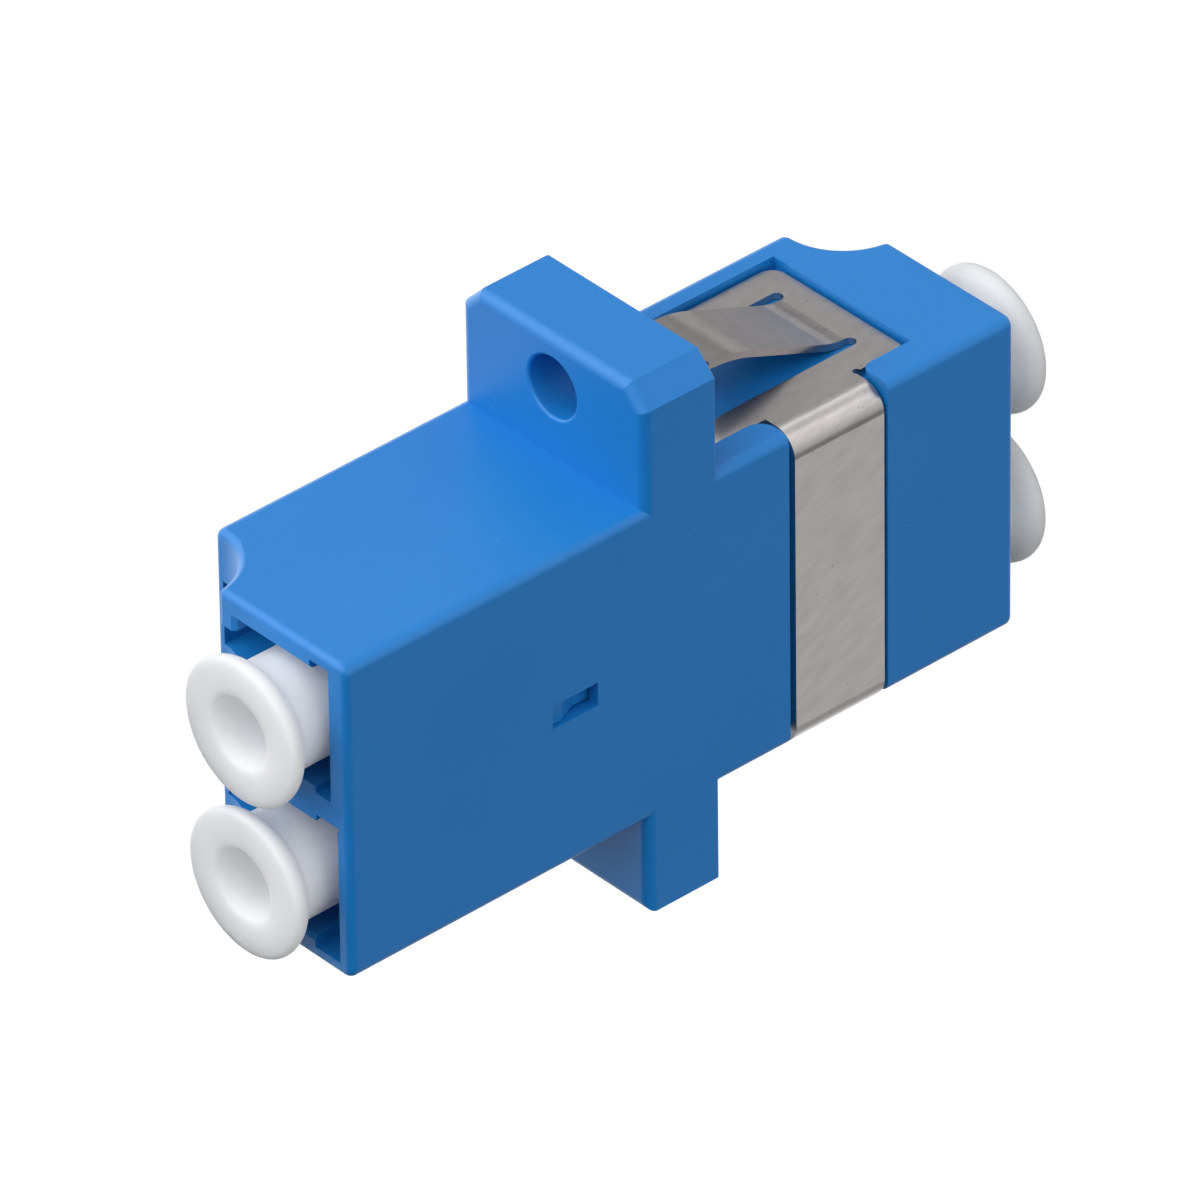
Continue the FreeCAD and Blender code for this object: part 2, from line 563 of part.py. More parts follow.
def dust_cap(z):
    """One soft cap at the +X end: rim, barrel, front recess and rear socket."""
    rim_x = HALF_LENGTH + CAP_STANDS_OUT
    foot_x = BULKHEAD_THICKNESS + CAP_TO_BULKHEAD
    neck_x = rim_x - CAP_RIM_THICKNESS
    socket_radius = BARREL_OUTSIDE / 2 + CAP_SOCKET_CLEARANCE
    socket_end = BARREL_END_X + CAP_SOCKET_BEYOND_BARREL
    rim_radius = CAP_RIM / 2
    body_radius = CAP_BARREL / 2
    hole_radius = CAP_RECESS / 2
    recess_end = rim_x - CAP_RECESS_DEPTH
    flare_x = neck_x - CAP_FLARE_LENGTH
    flare_top = body_radius + CAP_FLARE_RISE
    flare_radius = (CAP_FLARE_LENGTH ** 2 + CAP_FLARE_RISE ** 2) / (2 * CAP_FLARE_RISE)
    flare_turn = math.atan(CAP_FLARE_RISE / CAP_FLARE_LENGTH)
    flare_middle = (flare_x + flare_radius * math.sin(flare_turn),
                    body_radius + flare_radius * (1 - math.cos(flare_turn)))
    diagonal = math.sqrt(0.5)

    def point(x, radius):
        return Vector(x, PORT_Y + radius, z)

    def line(first, second):
        return Part.LineSegment(point(*first), point(*second)).toShape()

    def quarter(start, centre, end):
        middle_x = centre[0] + diagonal * (start[0] + end[0] - 2 * centre[0])
        middle_r = centre[1] + diagonal * (start[1] + end[1] - 2 * centre[1])
        return Part.Arc(point(*start), point(middle_x, middle_r), point(*end)).toShape()

    front = CAP_RIM_ROUND_FRONT
    back = CAP_RIM_ROUND_BACK
    mouth = CAP_MOUTH_ROUND
    edges = [
        line((socket_end, 0), (socket_end, socket_radius)),
        line((socket_end, socket_radius), (foot_x, socket_radius)),
        line((foot_x, socket_radius), (foot_x, body_radius - CAP_LEAD_CHAMFER)),
        line((foot_x, body_radius - CAP_LEAD_CHAMFER), (foot_x + CAP_LEAD_CHAMFER, body_radius)),
        line((foot_x + CAP_LEAD_CHAMFER, body_radius), (flare_x, body_radius)),
        Part.Arc(point(flare_x, body_radius), point(*flare_middle), point(neck_x, flare_top)).toShape(),
        line((neck_x, flare_top), (neck_x, rim_radius - back)),
        quarter((neck_x, rim_radius - back), (neck_x + back, rim_radius - back),
                (neck_x + back, rim_radius)),
        line((neck_x + back, rim_radius), (rim_x - front, rim_radius)),
        quarter((rim_x - front, rim_radius), (rim_x - front, rim_radius - front),
                (rim_x, rim_radius - front)),
        line((rim_x, rim_radius - front), (rim_x, hole_radius + mouth)),
        quarter((rim_x, hole_radius + mouth), (rim_x - mouth, hole_radius + mouth),
                (rim_x - mouth, hole_radius)),
        line((rim_x - mouth, hole_radius), (recess_end, hole_radius)),
        line((recess_end, hole_radius), (recess_end, 0)),
        line((recess_end, 0), (socket_end, 0)),
    ]
    face = Part.Face(Part.Wire(edges))
    return face.revolve(Vector(0, PORT_Y, z), Vector(1, 0, 0), 360)


def subparts():
    """Every piece of the adapter by the name of its node.

    The pieces are drawn about the middle of the body, and then moved so that
    the origin lies midway between the screw holes, in the middle of the flange.
    """
    shapes = {
        "housing": housing(),
        "sleeve_holder": sleeve_holder(),
        "mounting_clip": mounting_clip(),
    }
    for name, level in PORT_LEVELS.items():
        cap = dust_cap(level)
        shapes["split_sleeve_" + name] = split_sleeve(level)
        shapes["dust_cap_rear_" + name] = cap
        shapes["dust_cap_front_" + name] = mirrored_x(cap)
    shift = Vector(-FLANGE_CENTRE_X, 0, BODY_AXIS_Z)
    return {name: shape.translated(shift) for name, shape in shapes.items()}


def main():
    os.makedirs("parts", exist_ok=True)
    for name, shape in subparts().items():
        shape.exportStep(os.path.join("parts", name + ".step"))
        print(name, "solids", len(shape.Solids), "valid", shape.isValid(),
              "volume", round(shape.Volume, 2), "mm3")


main()
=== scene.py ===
"""Dresses and lights a duplex fibre adapter: blue moulded housing, folded steel clip, soft white caps.

The row frame is in metres. X runs along the fibres, the window face is at -Y and Z is up.
"""

import logging
import math
from dataclasses import dataclass, field
from enum import Enum

import bpy
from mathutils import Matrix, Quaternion, Vector


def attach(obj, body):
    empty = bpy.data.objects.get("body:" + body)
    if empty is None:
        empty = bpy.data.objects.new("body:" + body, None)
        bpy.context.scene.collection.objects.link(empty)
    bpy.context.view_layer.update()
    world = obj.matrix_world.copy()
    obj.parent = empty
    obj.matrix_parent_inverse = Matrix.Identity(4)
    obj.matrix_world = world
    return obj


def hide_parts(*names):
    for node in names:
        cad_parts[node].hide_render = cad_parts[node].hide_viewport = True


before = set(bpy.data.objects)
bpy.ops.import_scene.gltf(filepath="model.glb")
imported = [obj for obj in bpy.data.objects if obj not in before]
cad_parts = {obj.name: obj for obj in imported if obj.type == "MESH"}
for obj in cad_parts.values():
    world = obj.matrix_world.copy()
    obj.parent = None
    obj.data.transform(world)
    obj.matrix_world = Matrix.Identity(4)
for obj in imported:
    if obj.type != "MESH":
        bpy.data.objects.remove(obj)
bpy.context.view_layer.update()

MM = 0.001
UP = (0.0, 0.0, 1.0)
log = logging.getLogger("adapter")

Colour = tuple[float, float, float]
Direction = tuple[float, float, float]
Outline = tuple[tuple[float, float], ...]


class Effect(Enum):
    """The shader effects that more than one material uses."""

    SKIN = "moulded_skin"
    SPECKS = "fine_specks"
    GRAIN = "rolled_grain"


class Light(Enum):
    """What a lamp does in the studio."""

    KEY = "key_softbox"
    FILL = "front_softbox"
    SIDE = "side_softbox"


def opaque(colour: Colour) -> tuple[float, float, float, float]:
    """The colour with full alpha, as sockets take it."""
    return (*colour, 1.0)


def feed(tree: bpy.types.ShaderNodeTree, value: float | bpy.types.NodeSocket,
         socket: bpy.types.NodeSocket) -> None:
    """Sets a socket to a number, or links another socket into it.

    Args:
        tree: The node tree of the socket.
        value: The number or the socket.
        socket: The socket that takes it.
    """
    if isinstance(value, bpy.types.NodeSocket):
        tree.links.new(value, socket)
    else:
        socket.default_value = value


def mix_values(tree: bpy.types.ShaderNodeTree, share: bpy.types.NodeSocket,
               first: float | bpy.types.NodeSocket,
               second: float | bpy.types.NodeSocket) -> bpy.types.NodeSocket:
    """Mixes two values.

    Args:
        tree: The node tree.
        share: The share of the second value.
        first: The value at a share of 0.
        second: The value at a share of 1.

    Returns:
        The mixed value's socket.
    """
    mix = tree.nodes.new("ShaderNodeMix")
    mix.data_type = "FLOAT"
    tree.links.new(share, mix.inputs["Factor"])
    feed(tree, first, mix.inputs["A"])
    feed(tree, second, mix.inputs["B"])
    return mix.outputs["Result"]


def combine(tree: bpy.types.ShaderNodeTree, operation: str, first: bpy.types.NodeSocket,
            second: bpy.types.NodeSocket) -> bpy.types.NodeSocket:
    """Puts two values through a maths node.

    Args:
        tree: The node tree.
        operation: The maths node's operation.
        first: Its first value.
        second: Its second value.

    Returns:
        The result's socket.
    """
    node = tree.nodes.new("ShaderNodeMath")
    node.operation = operation
    tree.links.new(first, node.inputs[0])
    tree.links.new(second, node.inputs[1])
    return node.outputs["Value"]


def along(tree: bpy.types.ShaderNodeTree, vector: bpy.types.NodeSocket,
          direction: Direction) -> bpy.types.NodeSocket:
    """Measures how far a vector points in a direction.

    Args:
        tree: The node tree.
        vector: The vector's socket.
        direction: The direction.

    Returns:
        The socket of their dot product.
    """
    node = tree.nodes.new("ShaderNodeVectorMath")
    node.operation = "DOT_PRODUCT"
    node.inputs[1].default_value = direction
    tree.links.new(vector, node.inputs[0])
    return node.outputs["Value"]


@dataclass(frozen=True)
class Ramp:
    """A range of values that becomes another range.

    Attributes:
        start: The value that becomes low.
        stop: The value that becomes high.
        low: What start becomes.
        high: What stop becomes.
        eased: Whether it starts and stops softly.
    """

    start: float
    stop: float
    low: float
    high: float
    eased: bool = False

    def add_to(self, tree: bpy.types.ShaderNodeTree, value: bpy.types.NodeSocket) -> bpy.types.NodeSocket:
        """Puts a value through the ramp.

        Args:
            tree: The node tree.
            value: The value's socket.

        Returns:
            The result's socket.
        """
        node = tree.nodes.new("ShaderNodeMapRange")
        node.interpolation_type = "SMOOTHSTEP" if self.eased else "LINEAR"
        node.inputs["From Min"].default_value = self.start
        node.inputs["From Max"].default_value = self.stop
        node.inputs["To Min"].default_value = self.low
        node.inputs["To Max"].default_value = self.high
        tree.links.new(value, node.inputs["Value"])
        return node.outputs["Result"]


@dataclass
class EffectLibrary:
    """Builds each shared effect once as a node group and places it in materials.

    Attributes:
        grain_turn: How far the rolled grain slants, in radians.
        grain_stretch: How much longer it is along itself than across.
        groups: The node groups by effect.
    """

    grain_turn: float = math.radians(-22)
    grain_stretch: float = 3.5
    groups: dict[Effect, bpy.types.ShaderNodeTree] = field(default_factory=dict)

    def build(self) -> None:
        """Builds every effect's node group."""
        self.groups[Effect.SKIN] = self._moulded_skin()
        self.groups[Effect.SPECKS] = self._fine_specks()
        self.groups[Effect.GRAIN] = self._rolled_grain()
        for effect in self.groups:
            log.info("effect %s", effect.value)

    def place(self, tree: bpy.types.ShaderNodeTree, effect: Effect, **values: float) -> bpy.types.ShaderNode:
        """Adds an effect to a material with its own values.

        Args:
            tree: The material's node tree.
            effect: Which effect to add.
            **values: Input values by socket name, with spaces written as underscores.

        Returns:
            The group node.
        """
        node = tree.nodes.new("ShaderNodeGroup")
        node.node_tree = self.groups[effect]
        node.label = effect.value
        for name, value in values.items():
            node.inputs[name.replace("_", " ")].default_value = value
        return node

    @staticmethod
    def _new_group(effect: Effect, inputs: dict[str, float], outputs: list[str]) -> bpy.types.ShaderNodeTree:
        """Makes an empty node group with float sockets.

        Args:
            effect: The effect that the group is for.
            inputs: Default values by input name.
            outputs: The names of the outputs.

        Returns:
            The group, with its input and output nodes in place.
        """
        tree = bpy.data.node_groups.new(effect.value, "ShaderNodeTree")
        for name, value in inputs.items():
            socket = tree.interface.new_socket(name=name, in_out="INPUT", socket_type="NodeSocketFloat")
            socket.default_value = value
        for name in outputs:
            tree.interface.new_socket(name=name, in_out="OUTPUT", socket_type="NodeSocketFloat")
        tree.nodes.new("NodeGroupInput")
        tree.nodes.new("NodeGroupOutput")
        return tree

    @staticmethod
    def _ends(tree: bpy.types.ShaderNodeTree) -> tuple[bpy.types.Node, bpy.types.Node]:
        """The input and output nodes of a group."""
        return tree.nodes["Group Input"], tree.nodes["Group Output"]

    @staticmethod
    def _noise(tree: bpy.types.ShaderNodeTree, vector: bpy.types.NodeSocket, scale: bpy.types.NodeSocket,
               detail: float) -> bpy.types.NodeSocket:
        """Adds a noise texture to a group.

        Args:
            tree: The group.
            vector: The coordinates it reads.
            scale: The socket that gives its scale.
            detail: Its detail level.

        Returns:
            The noise's socket.
        """
        noise = tree.nodes.new("ShaderNodeTexNoise")
        noise.inputs["Detail"].default_value = detail
        tree.links.new(scale, noise.inputs["Scale"])
        tree.links.new(vector, noise.inputs["Vector"])
        return noise.outputs["Fac"]

    def _moulded_skin(self) -> bpy.types.ShaderNodeTree:
        """Fine tool texture with slow sink marks, as a moulded wall has.

        Returns:
            A group with outputs Height for a bump, and Tone for slow changes of colour.
        """
        tree = self._new_group(Effect.SKIN, {"Fine Scale": 9000.0, "Slow Scale": 160.0, "Slow Share": 0.5},
                               ["Height", "Tone"])
        start, end = self._ends(tree)
        place = tree.nodes.new("ShaderNodeTexCoord").outputs["Object"]
        fine = self._noise(tree, place, start.outputs["Fine Scale"], detail=2.0)
        slow = self._noise(tree, place, start.outputs["Slow Scale"], detail=1.0)
        tree.links.new(mix_values(tree, start.outputs["Slow Share"], fine, slow), end.inputs["Height"])
        tree.links.new(slow, end.inputs["Tone"])
        return tree

    def _fine_specks(self) -> bpy.types.ShaderNodeTree:
        """Scattered small specks of dust and scuffing.

        Returns:
            A group whose output Mask is 1 on a speck and 0 elsewhere.
        """
        tree = self._new_group(Effect.SPECKS, {"Scale": 1500.0, "Threshold": 0.74, "Edge": 0.03}, ["Mask"])
        start, end = self._ends(tree)
        place = tree.nodes.new("ShaderNodeTexCoord").outputs["Object"]
        spread = tree.nodes.new("ShaderNodeMapRange")
        tree.links.new(self._noise(tree, place, start.outputs["Scale"], detail=0.0), spread.inputs["Value"])
        tree.links.new(start.outputs["Threshold"], spread.inputs["From Min"])
        tree.links.new(combine(tree, "ADD", start.outputs["Threshold"], start.outputs["Edge"]),
                       spread.inputs["From Max"])
        tree.links.new(spread.outputs["Result"], end.inputs["Mask"])
        return tree

    def _rolled_grain(self) -> bpy.types.ShaderNodeTree:
        """The drawn grain of rolled sheet, slanting across it.

        Returns:
            A group with outputs Height for a bump, and Streak for slow changes along the grain.
        """
        tree = self._new_group(Effect.GRAIN, {"Scale": 900.0, "Streak Scale": 110.0}, ["Height", "Streak"])
        start, end = self._ends(tree)
        turn = tree.nodes.new("ShaderNodeMapping")
        turn.vector_type = "TEXTURE"
        turn.inputs["Rotation"].default_value = (0.0, self.grain_turn, 0.0)
        turn.inputs["Scale"].default_value = (self.grain_stretch, 1.0, 1.0)
        tree.links.new(tree.nodes.new("ShaderNodeTexCoord").outputs["Object"], turn.inputs["Vector"])
        slanted = turn.outputs["Vector"]
        height = self._noise(tree, slanted, start.outputs["Scale"], detail=3.0)
        tree.links.new(height, end.inputs["Height"])
        streak = self._noise(tree, slanted, start.outputs["Streak Scale"], detail=2.0)
        tree.links.new(streak, end.inputs["Streak"])
        return tree


def new_material(name: str, colour: Colour) -> tuple[bpy.types.Material, bpy.types.Node]:
    """Makes a material with nodes.

    Args:
        name: The material's name.
        colour: Its colour in the viewport.

    Returns:
        The material and its Principled shader.
    """
    material = bpy.data.materials.new(name)
    material.use_nodes = True
    material.diffuse_color = opaque(colour)
    return material, material.node_tree.nodes["Principled BSDF"]


@dataclass(frozen=True)
class Tones:
    """Two near tones of one colour.

    Attributes:
        low: The darker tone.
        high: The lighter tone.
        low_stop: The noise level that gives the darker tone.
        high_stop: The noise level that gives the lighter tone.
    """

    low: Colour
    high: Colour
    low_stop: float = 0.3
    high_stop: float = 0.7

    def add_to(self, tree: bpy.types.ShaderNodeTree, noise: bpy.types.NodeSocket,
               target: bpy.types.NodeSocket) -> None:
        """Turns a slow noise into a colour between the two tones.

        Args:
            tree: The material's node tree.
            noise: The noise.
            target: The socket that takes the colour.
        """
        node = tree.nodes.new("ShaderNodeValToRGB")
        stops = node.color_ramp.elements
        stops[0].position, stops[0].color = self.low_stop, opaque(self.low)
        stops[1].position, stops[1].color = self.high_stop, opaque(self.high)
        tree.links.new(noise, node.inputs["Fac"])
        tree.links.new(node.outputs["Color"], target)


@dataclass(frozen=True)
class Specks:
    """Small specks or pits in a surface.

    Attributes:
        colour: Their colour.
        threshold: The noise level above which they show.
        scale: The scale of their pattern.
        edge: How soft their edge is, in noise levels.
    """

    colour: Colour
    threshold: float
    scale: float = 7000.0
    edge: float = 0.03

    def add_to(self, effects: EffectLibrary, tree: bpy.types.ShaderNodeTree,
               target: bpy.types.NodeSocket) -> bpy.types.NodeSocket:
        """Scatters the specks over a colour.

        Args:
            effects: The shared shader effects.
            tree: The material's node tree.
            target: The socket that takes the speckled colour.

        Returns:
            The socket that takes the plain colour.
        """
        specks = effects.place(tree, Effect.SPECKS, Scale=self.scale, Threshold=self.threshold,
                               Edge=self.edge)
        mix = tree.nodes.new("ShaderNodeMix")
        mix.data_type = "RGBA"
        mix.inputs["B"].default_value = opaque(self.colour)
        tree.links.new(specks.outputs["Mask"], mix.inputs["Factor"])
        tree.links.new(mix.outputs["Result"], target)
        return mix.inputs["A"]


@dataclass(frozen=True)
class Bump:
    """The relief of a surface.

    Attributes:
        depth: Its depth in metres.
        strength: The share of it that is used.
    """

    depth: float
    strength: float

    def add_to(self, tree: bpy.types.ShaderNodeTree, height: bpy.types.NodeSocket,
               shader: bpy.types.Node) -> None:
        """Feeds a height into a shader's normal.

        Args:
            tree: The material's node tree.
            height: The height socket.
            shader: The Principled shader.
        """
        bump = tree.nodes.new("ShaderNodeBump")
        bump.inputs["Distance"].default_value = self.depth
        bump.inputs["Strength"].default_value = self.strength
        tree.links.new(height, bump.inputs["Height"])
        tree.links.new(bump.outputs["Normal"], shader.inputs["Normal"])


@dataclass(frozen=True)
class Scatter:
    """How light scatters under a skin.

    Attributes:
        share: The share of the light that does.
        depth: How far it goes, in metres.
        spread: The share of that depth for red, green and blue.
    """

    share: float
    depth: float
    spread: Colour

    def set_on(self, shader: bpy.types.Node) -> None:
        """Sets it on a shader.

        Args:
            shader: The Principled shader.
        """
        shader.inputs["Subsurface Weight"].default_value = self.share
        shader.inputs["Subsurface Scale"].default_value = self.depth
        shader.inputs["Subsurface Radius"].default_value = self.spread


@dataclass(frozen=True)
class MouldedPlastic:
    """A semi-gloss coloured moulding with fine tool texture and a few specks.

    Attributes:
        name: The material's name.
        tones: The tones of the resin.
        specks: The specks in its skin.
        roughness: The gloss of its skin.
        specular: The strength of its plain reflection.
        scatter: The light under its skin.
        fine_scale: The scale of the tool texture.
        slow_scale: The scale of the sink marks.
        slow_share: The share of the sink marks in the relief.
        relief: The depth of both.
    """

    name: str
    tones: Tones
    specks: Specks
    roughness: float
    specular: float
    scatter: Scatter
    fine_scale: float = 7000.0
    slow_scale: float = 140.0
    slow_share: float = 0.55
    relief: Bump = Bump(depth=0.01 * MM, strength=0.25)

    def material(self, effects: EffectLibrary) -> bpy.types.Material:
        """Builds the material.

        Args:
            effects: The shared shader effects.

        Returns:
            The finished material.
        """
        material, shader = new_material(self.name, self.tones.high)
        tree = material.node_tree
        skin = effects.place(tree, Effect.SKIN, Fine_Scale=self.fine_scale, Slow_Scale=self.slow_scale,
                             Slow_Share=self.slow_share)
        plain = self.specks.add_to(effects, tree, shader.inputs["Base Color"])
        self.tones.add_to(tree, skin.outputs["Tone"], plain)
        shader.inputs["Roughness"].default_value = self.roughness
        shader.inputs["Specular IOR Level"].default_value = self.specular
        self.scatter.set_on(shader)
        self.relief.add_to(tree, skin.outputs["Height"], shader)
        return material


@dataclass(frozen=True)
class RolledSteel:
    """Satin stainless sheet with a slanting rolled grain.

    Attributes:
        name: The material's name.
        tones: The tones of the sheet.
        specks: The pits in it.
        roughness: The gloss of the sheet.
        grain_scale: The scale of the grain.
        streak_scale: The scale of the tones along it.
        relief: The depth of the grain.
    """

    name: str
    tones: Tones
    specks: Specks
    roughness: float
    grain_scale: float = 8000.0
    streak_scale: float = 3000.0
    relief: Bump = Bump(depth=0.01 * MM, strength=0.4)

    def material(self, effects: EffectLibrary) -> bpy.types.Material:
        """Builds the material.

        Args:
            effects: The shared shader effects.

        Returns:
            The finished material.
        """
        material, shader = new_material(self.name, self.tones.high)
        tree = material.node_tree
        grain = effects.place(tree, Effect.GRAIN, Scale=self.grain_scale, Streak_Scale=self.streak_scale)
        plain = self.specks.add_to(effects, tree, shader.inputs["Base Color"])
        self.tones.add_to(tree, grain.outputs["Streak"], plain)
        shader.inputs["Metallic"].default_value = 1.0
        shader.inputs["Roughness"].default_value = self.roughness
        self.relief.add_to(tree, grain.outputs["Height"], shader)
        return material


@dataclass(frozen=True)
class SoftPolymer:
    """A white moulding that lets a little light through.

    Attributes:
        name: The material's name.
        tones: The tones of the moulding.
        roughness: The gloss of its skin.
        scatter: The light under its skin.
        specular: The strength of its plain reflection.
        fine_scale: The scale of its fine texture.
        slow_scale: The scale of its slow waves.
        slow_share: The share of the waves in the relief.
        relief: The depth of both.
    """

    name: str
    tones: Tones
    roughness: float
    scatter: Scatter
    specular: float = 0.35
    fine_scale: float = 5000.0
    slow_scale: float = 220.0
    slow_share: float = 0.7
    relief: Bump = Bump(depth=0.012 * MM, strength=0.3)

    def material(self, effects: EffectLibrary) -> bpy.types.Material:
        """Builds the material.

        Args:
            effects: The shared shader effects.

        Returns:
            The finished material.
        """
        material, shader = new_material(self.name, self.tones.high)
        tree = material.node_tree
        skin = effects.place(tree, Effect.SKIN, Fine_Scale=self.fine_scale, Slow_Scale=self.slow_scale,
                             Slow_Share=self.slow_share)
        self.tones.add_to(tree, skin.outputs["Tone"], shader.inputs["Base Color"])
        shader.inputs["Roughness"].default_value = self.roughness
        shader.inputs["Specular IOR Level"].default_value = self.specular
        self.scatter.set_on(shader)
        self.relief.add_to(tree, skin.outputs["Height"], shader)
        return material


BLUE_RESIN = MouldedPlastic(
    "blue_resin", Tones(low=(0.005, 0.190, 0.562), high=(0.008, 0.202, 0.586)),
    Specks(colour=(0.05, 0.26, 0.62), threshold=0.84), roughness=0.45, specular=0.45,
    scatter=Scatter(share=0.15, depth=0.35 * MM, spread=(0.4, 0.7, 1.0)))
STAINLESS = RolledSteel(
    "satin_stainless", Tones(low=(0.415, 0.392, 0.390), high=(0.470, 0.444, 0.442)),
    Specks(colour=(0.24, 0.23, 0.23), threshold=0.82), roughness=0.28)
ZIRCONIA = SoftPolymer(
    "white_ceramic", Tones(low=(0.84, 0.83, 0.78), high=(0.88, 0.87, 0.83)), roughness=0.18,
    scatter=Scatter(share=0.1, depth=2.0 * MM, spread=(1.0, 0.95, 0.9)))
CAP_WHITE = SoftPolymer(
    "cap_white", Tones(low=(0.965, 0.972, 0.985), high=(0.972, 0.979, 0.99)), roughness=0.50,
    scatter=Scatter(share=1.0, depth=2.0 * MM, spread=(1.0, 0.95, 0.9)))


def dress(node: str, material: bpy.types.Material) -> None:
    """Gives a CAD node its material.

    Args:
        node: The node's name.
        material: The material that fills its slots.
    """
    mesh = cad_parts[node].data
    mesh.materials.clear()
    mesh.materials.append(material)
    log.info("dressed %s with %s", node, material.name)


@dataclass
class MouldedBody:
    """The housing and the insert that closes it, in one blue resin.

    Attributes:
        nodes: The CAD nodes of both.
        finish: Their resin.
    """

    nodes: tuple[str, ...] = ("housing", "sleeve_holder")
    finish: MouldedPlastic = BLUE_RESIN

    def build(self, effects: EffectLibrary) -> None:
        """Dresses both mouldings.

        Args:
            effects: The shared shader effects.
        """
        material = self.finish.material(effects)
        for node in self.nodes:
            dress(node, material)


@dataclass
class SpringClip:
    """The folded sheet with its band, plates and tongues.

    Attributes:
        node: Its CAD node.
        finish: Its steel.
    """

    node: str = "mounting_clip"
    finish: RolledSteel = STAINLESS

    def build(self, effects: EffectLibrary) -> None:
        """Dresses the clip."""
        dress(self.node, self.finish.material(effects))


@dataclass
class AlignmentSleeves:
    """The two slit tubes that line up the ferrules.

    Attributes:
        nodes: The CAD nodes of both.
        finish: Their ceramic.
    """

    nodes: tuple[str, ...] = ("split_sleeve_upper", "split_sleeve_lower")
    finish: SoftPolymer = ZIRCONIA

    def build(self, effects: EffectLibrary) -> None:
        """Dresses both sleeves.

        Args:
            effects: The shared shader effects.
        """
        material = self.finish.material(effects)
        for node in self.nodes:
            dress(node, material)


@dataclass(frozen=True)
class CapShape:
    """The soft cap's outline as X and radius in millimetres, with its rim's face at X = 0.

    Attributes:
        socket: The socket that goes over the sleeve's barrel, from its floor out.
        barrel: The inner end and the barrel, up to where the flare starts.
        rim: The flare, the rounded rim and its face.
        mouth: The funnel and the blind hole, down to its floor.
        sides: The number of sides that the outline is turned in.
        smoothness: The levels of subdivision.
        merge: The distance under which points are one, in millimetres.
    """

    socket: Outline = ((-12.8, 0.0), (-12.8, 1.3), (-12.9, 1.4), (-15.6, 1.4))
    barrel: Outline = ((-15.7, 1.5), (-15.7, 1.72), (-15.65, 1.8), (-15.45, 2.0), (-15.35, 2.05),
                       (-15.1, 2.05), (-1.3, 2.05))
    rim: Outline = ((-1.14, 2.07), (-1.0, 2.2), (-0.88, 2.38), (-0.76, 2.54), (-0.61, 2.68), (-0.43, 2.78),
                    (-0.24, 2.82), (-0.08, 2.78), (-0.01, 2.66), (0.0, 2.45), (0.0, 1.8))
    mouth: Outline = ((0.0, 1.52), (-0.06, 1.36), (-0.24, 1.26), (-0.7, 1.16), (-1.3, 1.06), (-2.0, 0.98),
                      (-2.9, 0.95), (-3.0, 0.85), (-3.0, 0.0))
    sides: int = 48
    smoothness: int = 2
    merge: float = 0.001

    def model(self) -> bpy.types.Object:
        """Turns the outline about the X axis.

        Returns:
            The cap's object.
        """
        outline = [Vector((x * MM, 0.0, radius * MM))
                   for x, radius in self.socket + self.barrel + self.rim + self.mouth]
        bpy.ops.mesh.primitive_plane_add(size=MM)
        cap = bpy.context.active_object
        bpy.ops.object.mode_set(mode="EDIT")
        bpy.ops.mesh.select_all(action="SELECT")
        bpy.ops.mesh.merge(type="CENTER")
        bpy.ops.transform.translate(value=outline[0])
        for here, there in zip(outline, outline[1:]):
            bpy.ops.mesh.extrude_vertices_move(TRANSFORM_OT_translate={"value": there - here})
        bpy.ops.mesh.select_all(action="SELECT")
        bpy.ops.mesh.spin(steps=self.sides, angle=2 * math.pi, center=(0, 0, 0), axis=(1, 0, 0))
        bpy.ops.mesh.select_all(action="SELECT")
        bpy.ops.mesh.remove_doubles(threshold=self.merge * MM)
        bpy.ops.mesh.normals_make_consistent(inside=False)
        bpy.ops.object.mode_set(mode="OBJECT")
        smooth = cap.modifiers.new("smooth", "SUBSURF")
        smooth.levels = smooth.render_levels = self.smoothness
        bpy.ops.object.modifier_apply(modifier=smooth.name)
        bpy.ops.object.shade_smooth()
        return cap


@dataclass(frozen=True)
class Port:
    """Where one cap sits.

    Attributes:
        body: The body that the cap moves with.
        face: The place of the middle of its rim's face, in millimetres.
        turn: Its turn about Z, in degrees.
    """

    body: str
    face: tuple[float, float, float]
    turn: float


